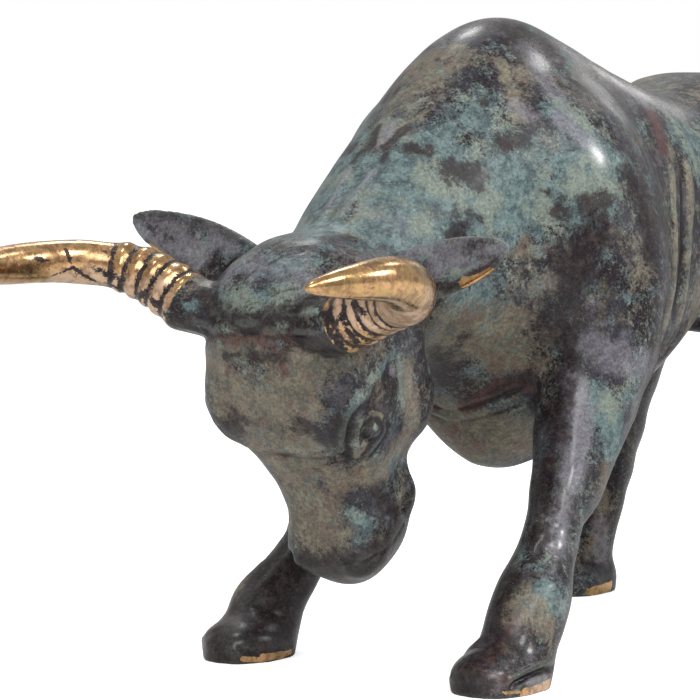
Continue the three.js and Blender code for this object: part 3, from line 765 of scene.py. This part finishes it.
def horn_line(side):
    """A horn's centre line with its radii; side is 1 for the left horn and -1 for the right."""
    cosine = math.cos(HORN_ROLL)
    sine = math.sin(HORN_ROLL)
    line = []
    for (out, forward, up, radius), rise in zip(HORN, LEFT_HORN_RISE):
        x = side * out
        z = up + (rise if side > 0 else 0)
        across = POLL.x + x * cosine + z * sine
        high = POLL.z - x * sine + z * cosine
        line.append((across, POLL.y - forward, high, radius))
    return np.array(line)


def horn_share(co, side):
    """How far along a horn's centre line each place near the horn is, from 0 to 1, and 0 elsewhere."""
    line = horn_line(side)
    best = np.full(len(co), np.inf)
    share = np.zeros(len(co))
    for i in range(len(line) - 1):
        step = line[i + 1, :3] - line[i, :3]
        offset = co - line[i, :3]
        t = np.clip(offset @ step / (step @ step), 0, 1)
        radius = line[i, 3] + (line[i + 1, 3] - line[i, 3]) * t
        d = np.linalg.norm(offset - t[:, None] * step, axis=1) - radius
        closer = d < best
        best[closer] = d[closer]
        share[closer] = (i + t[closer]) / (len(line) - 1)
    return np.where(best < HORN_SURFACE, share, 0)


def patches(skin, co, rows, ground):
    """A field over the places that rises from its ground about each row's line, on both sides."""
    field = np.full(len(co), ground)
    for *spots, reach, strength in rows:
        pins = skin.trace(spots, PATCH_STEP)
        for line in (pins, [skin.other_side(*pin) for pin in pins]):
            near, away, _ = beside(np.array([place for place, _ in line]), co, PATCH_FADE * reach)
            field[near] = np.maximum(field[near], strength * np.exp(-((away / reach) ** 2)))
    return field


def nearest_places(among, co):
    """For each place, which of the others is nearest."""
    tree = KDTree(len(among))
    for i, place in enumerate(among):
        tree.insert(place, i)
    tree.balance()
    return np.array([tree.find(place)[1] for place in co])


def write_field(mesh, name, values):
    """Stores a number with each vertex, for the material to read by its name."""
    attribute = mesh.attributes.new(name, "FLOAT", "POINT")
    attribute.data.foreach_set("value", np.asarray(values, np.float32))


# Materials.

# The noises of the finish: each one's size in millimetres, detail, roughness and distortion. A noise's row
# is its seed too.
NOISES = {
    "cloud": (11, 5, 0.6, 0.6),
    "blotch": (3.6, 8, 0.72, 0.3),
    "fleck": (1.2, 6, 0.75, 0),
    "grain": (0.42, 4, 0.8, 0),
    "lilac": (4, 6, 0.7, 0.2),
    "moss": (2.4, 6, 0.72, 0),
    "olive": (6, 7, 0.7, 0.4),
    "verdigris": (2.6, 7, 0.75, 0),
    "teal": (6.5, 7, 0.72, 0.5),
    "red": (2.5, 7, 0.75, 0.2),
    "dark": (1.9, 8, 0.78, 0.3),
    "bright": (1.5, 6, 0.65, 0),
    "worn": (1.5, 8, 0.74, 0.4),
    "brass": (5, 4, 0.6, 0),
    "sage": (7, 4, 0.6, 0),
    "clay": (4.2, 5, 0.7, 0),
    "shade": (0.6, 5, 0.8, 0),
    "ring": (1.5, 7, 0.8, 0.4),
    "film": (2.4, 7, 0.74, 0.5),
    "bloom": (0.9, 6, 0.8, 0),
    "wax": (3, 6, 0.7, 0),
    "matt": (3, 5, 0.7, 0),
    "spot": (1.7, 6, 0.78, 0),
}


class Shader:
    """One material's nodes, each made, set and linked by one call."""

    def __init__(self, name):
        self.material = bpy.data.materials.new(name)
        self.material.use_nodes = True
        self.nodes = self.material.node_tree.nodes
        self.links = self.material.node_tree.links
        self.surface = self.nodes["Principled BSDF"]

    def fill(self, node, inputs):
        """Links each input that is another node's output, and sets the others."""
        for key, value in inputs.items():
            if isinstance(value, bpy.types.NodeSocket):
                self.links.new(value, node.inputs[key])
            else:
                node.inputs[key].default_value = value

    def make(self, kind, inputs, **settings):
        node = self.nodes.new("ShaderNode" + kind)
        for key, value in settings.items():
            setattr(node, key, value)
        self.fill(node, inputs)
        return node

    def coordinates(self):
        """Places on the object in millimetres."""
        place = self.nodes.new("ShaderNodeTexCoord").outputs["Object"]
        self.place = self.make("VectorMath", {0: place, "Scale": 1 / MM}, operation="SCALE").outputs[0]

    def noise(self, name):
        """One of the finish's cloudy noises."""
        size, detail, roughness, distortion = NOISES[name]
        inputs = {
            "Vector": self.place,
            "W": 1 + list(NOISES).index(name),
            "Scale": 1 / size,
            "Detail": detail,
            "Roughness": roughness,
            "Distortion": distortion,
        }
        return self.make("TexNoise", inputs, noise_dimensions="4D").outputs["Fac"]

    def cells(self, size):
        """Cells of about `size` millimetres: the distance to a cell's middle, and its own random tint."""
        node = self.make("TexVoronoi", {"Vector": self.place, "Scale": 1 / size})
        return node.outputs["Distance"], node.outputs["Color"]

    def field(self, name):
        return self.make("Attribute", {}, attribute_name=name).outputs["Fac"]

    def math(self, operation, a, b):
        return self.make("Math", {0: a, 1: b}, operation=operation).outputs[0]

    def times(self, a, b):
        return self.math("MULTIPLY", a, b)

    def plus(self, a, b):
        return self.math("ADD", a, b)

    def less(self, a, b):
        return self.math("SUBTRACT", a, b)

    def step(self, value, low, high):
        """0 below low, 1 above high, smooth between."""
        inputs = {"Value": value, "From Min": low, "From Max": high}
        return self.make("MapRange", inputs, interpolation_type="SMOOTHSTEP").outputs["Result"]

    def span(self, value, low, high):
        """A share from 0 to 1 turned into a number from low to high."""
        return self.make("MapRange", {"Value": value, "To Min": low, "To Max": high}).outputs["Result"]

    def mix(self, share, a, b, blend="MIX"):
        node = self.make("Mix", {0: share, 6: a, 7: b}, data_type="RGBA", blend_type=blend)
        return node.outputs[2]

    def broken(self, name, amount, *others, low, high):
        """A mask where the named field is strong, broken up by the noise of its name and by others."""
        field = self.field(name)
        for noise, share in ((self.noise(name), amount), *others):
            field = self.plus(field, self.times(self.less(noise, 0.5), share))
        return self.step(field, low, high)


def dark_ground(s, colours, fleck):
    """Plum and slate clouds with umber specks, under the grey bloom of the wax."""
    ground = s.mix(s.step(s.noise("cloud"), 0.44, 0.58), colours.plum, colours.slate)
    ground = s.mix(s.step(fleck, 0.5, 0.62), ground, colours.umber)
    return s.mix(s.times(s.step(s.noise("blotch"), 0.52, 0.62), 0.7), ground, colours.haze)


def dark_spot(s, colours, grain):
    """The plum and umber of a spot without patina."""
    spot = s.mix(s.step(s.noise("spot"), 0.46, 0.62), colours.plum, colours.umber)
    return s.mix(s.times(s.step(grain, 0.5, 0.7), 0.25), spot, colours.haze)


def olive_patina(s, colours, fleck, grain):
    """Olive and moss with brown clay in it, and how far it covers what is under it."""
    olive = s.mix(s.step(s.noise("moss"), 0.38, 0.62), colours.moss, colours.olive)
    olive = s.mix(s.step(s.noise("clay"), 0.5, 0.6), olive, colours.clay)
    mask = s.broken("olive", 1.9, (fleck, 1.2), (grain, 1.1), low=0.32, high=0.78)
    return olive, s.times(mask, 0.94)


def teal_patina(s, colours, fleck, grain):
    """Deep and light verdigris with sage and pale bloom in it, and how far it covers what is under it."""
    teal = s.mix(s.step(s.noise("verdigris"), 0.42, 0.58), colours.teal, colours.verdigris)
    teal = s.mix(s.step(s.noise("sage"), 0.48, 0.6), teal, colours.sage)
    bloom = s.step(s.noise("bloom"), 0.52, 0.7)
    teal = s.mix(s.times(bloom, 0.75), teal, colours.pale)
    mask = s.broken("teal", 2, (fleck, 1.5), (grain, 1.8), low=0.34, high=0.74)
    return teal, s.times(mask, 0.95)


def stained(s, colours, body, spot, fleck, grain):
    """The patina with its lilac bloom, partly a painted sheen, red stains and dark spots."""
    # painted sheen: the lilac lightens the places where the wax would shine
    lilac = s.broken("lilac", 1.2, (grain, 0.5), low=0.3, high=0.9)
    body = s.mix(s.times(lilac, 0.62), body, colours.lilac)
    red = s.broken("red", 2, (grain, 0.8), low=0.4, high=0.75)
    body = s.mix(s.times(red, 0.72), body, colours.rust)
    dark = s.broken("dark", 2.4, (fleck, 1.3), (grain, 1.2), low=0.38, high=0.86)
    return s.mix(s.times(dark, 0.9), body, spot)


def painted_relief_shade_and_dust(s, colours, body, hollow):
    """The patina with painted shade darkening its grooves and hollows, painted highlight lightening its
    crests, pale dust specks and a fine grain.
    """
    # painted shade: hollows darkened towards near-black; painted highlight: crests lightened with sage
    groove = s.step(hollow, 0.02, 0.16)
    painted_crest_highlight = s.step(s.times(hollow, -1.0), 0.03, 0.2)
    body = s.mix(s.times(groove, 0.72), body, colours.painted_groove_shade)
    body = s.mix(s.times(painted_crest_highlight, 0.22), body, colours.sage)
    near, tint = s.cells(2.1)
    few = s.step(tint, 0.66, 0.68)
    speck = s.times(s.step(s.times(near, -1.0), -0.07, -0.04), few)
    body = s.mix(s.times(speck, 0.55), body, colours.speck)
    shaded = s.mix(1.0, body, colours.shade, "MULTIPLY")
    return s.mix(s.step(s.noise("shade"), 0.4, 0.6), shaded, body)


def ground_bronze(s, colours, matt):
    """Gold and brass under a brown film, paler where it is matt."""
    gold = s.mix(s.step(s.noise("brass"), 0.4, 0.62), colours.gold, colours.brass)
    gold = s.mix(s.times(matt, 0.8), gold, colours.blush)
    film = s.step(s.noise("film"), 0.44, 0.6)
    return s.mix(s.times(film, 0.8), gold, colours.tarnish)


def patinated_bronze(colours, sizes):
    """Waxed bronze with a plum, verdigris, olive and lilac patina, painted sheen and painted relief shade,
    ground bright on the horns and feet.
    """
    s = Shader("patinated_bronze")
    s.coordinates()
    hollow = s.field("hollow")
    fleck = s.noise("fleck")
    grain = s.noise("grain")

    # patina, its lilac partly a painted sheen, with painted shade in the grooves and painted highlight on
    # the crests
    spot = dark_spot(s, colours, grain)
    olive, olive_cover = olive_patina(s, colours, fleck, grain)
    teal, teal_cover = teal_patina(s, colours, fleck, grain)
    body = s.mix(olive_cover, dark_ground(s, colours, fleck), olive)
    body = s.mix(teal_cover, body, teal)
    body = stained(s, colours, body, spot, fleck, grain)
    body = painted_relief_shade_and_dust(s, colours, body, hollow)

    # ground bronze, left dark in its pits and rings
    area = s.broken("bright", 0.7, low=0.42, high=0.5)
    worn = s.less(s.noise("worn"), s.times(hollow, 0.9))
    ring = s.broken("ring", 3.6, low=0.53, high=0.62)
    bright = s.times(area, s.times(s.step(worn, 0.4, 0.46), s.less(1.0, ring)))
    matt = s.broken("matt", 0.8, low=0.3, high=0.7)
    colour = s.mix(bright, s.mix(area, body, spot), ground_bronze(s, colours, matt))

    # roughness of the two, wax and cast grain
    cover = s.math("MAXIMUM", teal_cover, s.times(olive_cover, 0.8))
    waxed = s.plus(s.span(cover, sizes.wax, sizes.patina), s.span(s.step(grain, 0.3, 0.7), -0.05, 0.1))
    rubbed = s.plus(s.span(s.step(fleck, 0.4, 0.7), sizes.bronze, 0.34), s.times(matt, 0.2))
    wax = s.broken("wax", 0.9, (grain, 0.8), low=0.25, high=0.85)
    pits = s.plus(s.times(grain, 0.5), s.times(fleck, 0.8))
    bump = s.make("Bump", {"Strength": s.span(bright, 0.4, 0.15), "Distance": sizes.grit, "Height": pits})
    s.fill(
        s.surface,
        {
            "Base Color": colour,
            "Metallic": s.times(bright, s.span(matt, 1.0, 0.7)),
            "Roughness": s.plus(s.times(s.less(1.0, bright), waxed), s.times(bright, rubbed)),
            "Specular IOR Level": 0.2,
            "Coat Weight": s.span(wax, 0.04, 0.5),
            "Coat Roughness": 0.2,
            "Normal": bump.outputs["Normal"],
        },
    )
    return s.material


# The stage.


def lay_floor(scene, settings):
    """A wide pale floor, lifted towards white where the camera sees it."""
    mesh = bpy.data.meshes.new("floor")
    bm = bmesh.new()
    bmesh.ops.create_grid(bm, x_segments=1, y_segments=1, size=FLOOR_REACH)
    bm.to_mesh(mesh)
    bm.free()
    floor = bpy.data.objects.new("floor", mesh)
    scene.collection.objects.link(floor)
    shader = Shader("pale_floor")
    seen = shader.make("LightPath", {}).outputs["Is Camera Ray"]
    shader.fill(
        shader.surface,
        {
            "Base Color": settings.floor,
            "Roughness": FLOOR_ROUGHNESS,
            "Emission Color": WHITE,
            "Emission Strength": shader.times(seen, settings.glow),
        },
    )
    mesh.materials.append(shader.material)


def surround_with_white(scene, settings):
    """An even surround that looks white behind the floor and lights the bull more softly."""
    world = bpy.data.worlds.new("studio")
    scene.world = world
    world.use_nodes = True
    nodes = world.node_tree.nodes
    links = world.node_tree.links
    surround = nodes["Background"]
    surround.inputs["Color"].default_value = WHITE
    surround.inputs["Strength"].default_value = settings.sky
    seen = nodes.new("ShaderNodeBackground")
    seen.inputs["Color"].default_value = WHITE
    ray = nodes.new("ShaderNodeLightPath")
    mix = nodes.new("ShaderNodeMixShader")
    links.new(ray.outputs["Is Camera Ray"], mix.inputs[0])
    links.new(surround.outputs[0], mix.inputs[1])
    links.new(seen.outputs[0], mix.inputs[2])
    links.new(mix.outputs[0], nodes["World Output"].inputs["Surface"])


def hang_lamp(scene, settings, name, azimuth, height, edge):
    """A square soft lamp that looks at the bull."""
    turn = math.radians(azimuth)
    rise = math.radians(height)
    level = Vector((math.sin(turn), -math.cos(turn), 0)) * math.cos(rise)
    place = AIM + LAMP_DISTANCE * (level + Vector((0, 0, math.sin(rise))))
    light = bpy.data.lights.new(name, "AREA")
    light.size = edge
    light.energy = getattr(settings, name)
    lamp = bpy.data.objects.new(name, light)
    lamp.location = place
    lamp.rotation_mode = "QUATERNION"
    lamp.rotation_quaternion = (AIM - place).to_track_quat("-Z", "Y")
    scene.collection.objects.link(lamp)


def place_camera(scene):
    camera = bpy.data.cameras.new("camera")
    camera.sensor_width = SENSOR_WIDTH
    camera.lens = FOCAL_PIXELS * SENSOR_WIDTH / PICTURE_PIXELS
    camera.clip_start = NEAR_CLIP
    seat = bpy.data.objects.new("camera", camera)
    seat.location = CAMERA_PLACE
    seat.rotation_mode = "QUATERNION"
    seat.rotation_quaternion = camera_turn()
    scene.collection.objects.link(seat)
    scene.camera = seat


# Properties, operators and panel.


def colour(name, description, red, green, blue):
    """A colour property; the parts are linear light."""
    return FloatVectorProperty(
        name=name,
        description=description,
        default=(red, green, blue, 1),
        size=4,
        min=0,
        max=1,
        subtype="COLOR",
    )


def length(name, description, millimetres):
    return FloatProperty(name=name, description=description, default=millimetres * MM, min=0, unit="LENGTH")


def factor(name, description, default):
    return FloatProperty(name=name, description=description, default=default, min=0, max=1, subtype="FACTOR")


def power(name, description, watts):
    return FloatProperty(name=name, description=description, default=watts, min=0, unit="POWER")


class BullSizes(bpy.types.PropertyGroup):
    """Sizes of the casting's finish."""

    step: length("Skin step", "Edge length of the carved skin", 0.45)
    triangles: IntProperty(
        name="Triangles",
        description="Triangles of the finished casting",
        default=196000,
        min=1000,
    )
    wax: factor("Wax", "Roughness of the waxed dark bronze", 0.28)
    patina: factor("Patina", "Roughness of the verdigris", 0.46)
    bronze: factor("Bronze", "Roughness of the ground bronze", 0.18)
    grit: length("Grit", "Depth of the cast grain", 0.14)


class PatinaColours(bpy.types.PropertyGroup):
    """Colours of the patina, from the ground up."""

    plum: colour("Plum", "Dark ground of the patina", 0.014, 0.009, 0.011)
    slate: colour("Slate", "Blue-grey ground of the patina", 0.032, 0.032, 0.04)
    umber: colour("Umber", "Brown specks of the ground", 0.055, 0.04, 0.036)
    haze: colour("Haze", "Grey bloom of the wax on the ground", 0.09, 0.083, 0.095)
    # Lilac is partly a painted sheen: the lavender highlights of the wax painted into the colour.
    lilac: colour("Lilac", "Lavender bloom of the wax", 0.24, 0.232, 0.26)
    olive: colour("Olive", "Yellow-green patches", 0.242, 0.212, 0.15)
    moss: colour("Moss", "Darker green in the olive patches", 0.118, 0.113, 0.085)
    clay: colour("Clay", "Brown in the olive patches", 0.18, 0.135, 0.1)
    teal: colour("Teal", "Deep verdigris", 0.065, 0.1, 0.104)
    verdigris: colour("Verdigris", "Lighter verdigris", 0.152, 0.222, 0.214)
    sage: colour("Sage", "Grey-green verdigris", 0.2, 0.24, 0.198)
    pale: colour("Pale", "Bloom on raised places", 0.32, 0.41, 0.395)
    rust: colour("Rust", "Reddish patches", 0.1, 0.038, 0.034)
    # Painted shade that darkens the bottoms of grooves.
    painted_groove_shade: colour("Pit", "Bottoms of grooves", 0.012, 0.01, 0.011)
    speck: colour("Speck", "Pale dust specks", 0.4, 0.42, 0.4)
    shade: colour("Shade", "Fine grain over the patina", 0.6, 0.57, 0.61)
    gold: colour("Gold", "Ground bronze", 0.64, 0.375, 0.185)
    brass: colour("Brass", "Yellower ground bronze", 0.51, 0.335, 0.145)
    blush: colour("Blush", "Matt ground bronze", 0.61, 0.445, 0.325)
    tarnish: colour("Tarnish", "Brown film on the ground bronze", 0.24, 0.14, 0.075)


class StageSettings(bpy.types.PropertyGroup):
    """Floor and light of the stage."""

    floor: colour("Floor", "Pale floor", 0.85, 0.85, 0.85)
    glow: factor("Glow", "How much the floor is lifted towards white in the picture", 0.64)
    sky: factor("Sky", "Strength of the even surround", 0.6)
    top: power("Top", "Small light overhead", 0.8)
    left: power("Left", "Soft light behind on the left", 1)
    rear: power("Rear", "Low soft light behind", 0.12)
    back: power("Back", "Soft light above and behind", 0.6)
    side: power("Side", "Soft light behind on the right", 2.8)
    front: power("Front", "Soft light above on the right", 2.6)
    fill: power("Fill", "Broad soft light from the front", 2.6)


class BULL_OT_casting(bpy.types.Operator):
    """Carves and colours the casting"""

    bl_idname = "bull.casting"
    bl_label = "Casting"

    def execute(self, context):
        sizes = context.scene.bull_sizes
        obj = merged_copy("bull", "bull_casting")
        subdivide(obj, SUBDIVISIONS)
        remesh(obj, sizes.step)
        relax(obj, RELAX_ROUNDS)

        skin = Skin(obj.data)
        skin.carve_lines(HEAD_LINES)
        skin.carve_lines(HAIR_LINES, both=False)
        skin.carve_lines(BODY_LINES)
        skin.carve_lines(HOOF_LINES)
        skin.carve_lines(TAIL_LINES, both=False)
        skin.co[:, 2] = np.maximum(skin.co[:, 2], 0)
        put(obj.data, skin.co * MM)

        thin_out(obj, sizes.triangles)
        co = places(obj.data) / MM
        fields = {name: patches(skin, co, rows, ground) for name, (rows, ground) in FIELDS.items()}
        fields["hollow"] = skin.hollowness(HOLLOW_ROUNDS)[nearest_places(skin.co, co)]
        for side in (1, -1):
            along = horn_share(co, side)
            bare = smooth_step(HORN_BARE_FROM, HORN_BARE_FROM + HORN_BARE_EDGE, along)
            fields["bright"] = np.maximum(fields["bright"], bare)
            for groove in HORN_GROOVES:
                ring = np.exp(-(((along - groove) / HORN_GROOVE_WIDTH) ** 2))
                fields["ring"] = np.maximum(fields["ring"], ring)
        for name, values in fields.items():
            write_field(obj.data, name, values)
        for polygon in obj.data.polygons:
            polygon.use_smooth = True
        obj.data.materials.clear()
        obj.data.materials.append(patinated_bronze(context.scene.patina_colours, sizes))
        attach(obj, "root")
        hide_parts("bull")
        return {"FINISHED"}


class BULL_OT_stage(bpy.types.Operator):
    """Sets a pale floor, soft lights and the camera"""

    bl_idname = "bull.stage"
    bl_label = "Stage"

    def execute(self, context):
        scene = context.scene
        settings = scene.stage_settings
        lay_floor(scene, settings)
        surround_with_white(scene, settings)
        for row in LAMPS:
            hang_lamp(scene, settings, *row)
        place_camera(scene)
        scene.view_settings.view_transform = "Standard"
        return {"FINISHED"}


class BULL_PT_panel(bpy.types.Panel):
    """Lists the bull's sizes, colours and steps."""

    bl_label = "Bronze Bull"
    bl_idname = "BULL_PT_panel"
    bl_space_type = "VIEW_3D"
    bl_region_type = "UI"
    bl_category = "Bull"

    def draw(self, context):
        layout = self.layout
        for group in GROUPS:
            values = getattr(context.scene, group)
            for name in values.__annotations__:
                layout.prop(values, name)
        for operator in (BULL_OT_casting, BULL_OT_stage):
            layout.operator(operator.bl_idname)


GROUPS = {"bull_sizes": BullSizes, "patina_colours": PatinaColours, "stage_settings": StageSettings}
CLASSES = (*GROUPS.values(), BULL_OT_casting, BULL_OT_stage, BULL_PT_panel)


def register():
    for cls in CLASSES:
        bpy.utils.register_class(cls)
    for name, group in GROUPS.items():
        setattr(bpy.types.Scene, name, PointerProperty(type=group))


def unregister():
    for name in GROUPS:
        delattr(bpy.types.Scene, name)
    for cls in reversed(CLASSES):
        bpy.utils.unregister_class(cls)


def main():
    register()
    bpy.ops.bull.casting()
    bpy.ops.bull.stage()


if __name__ == "__main__":
    main()
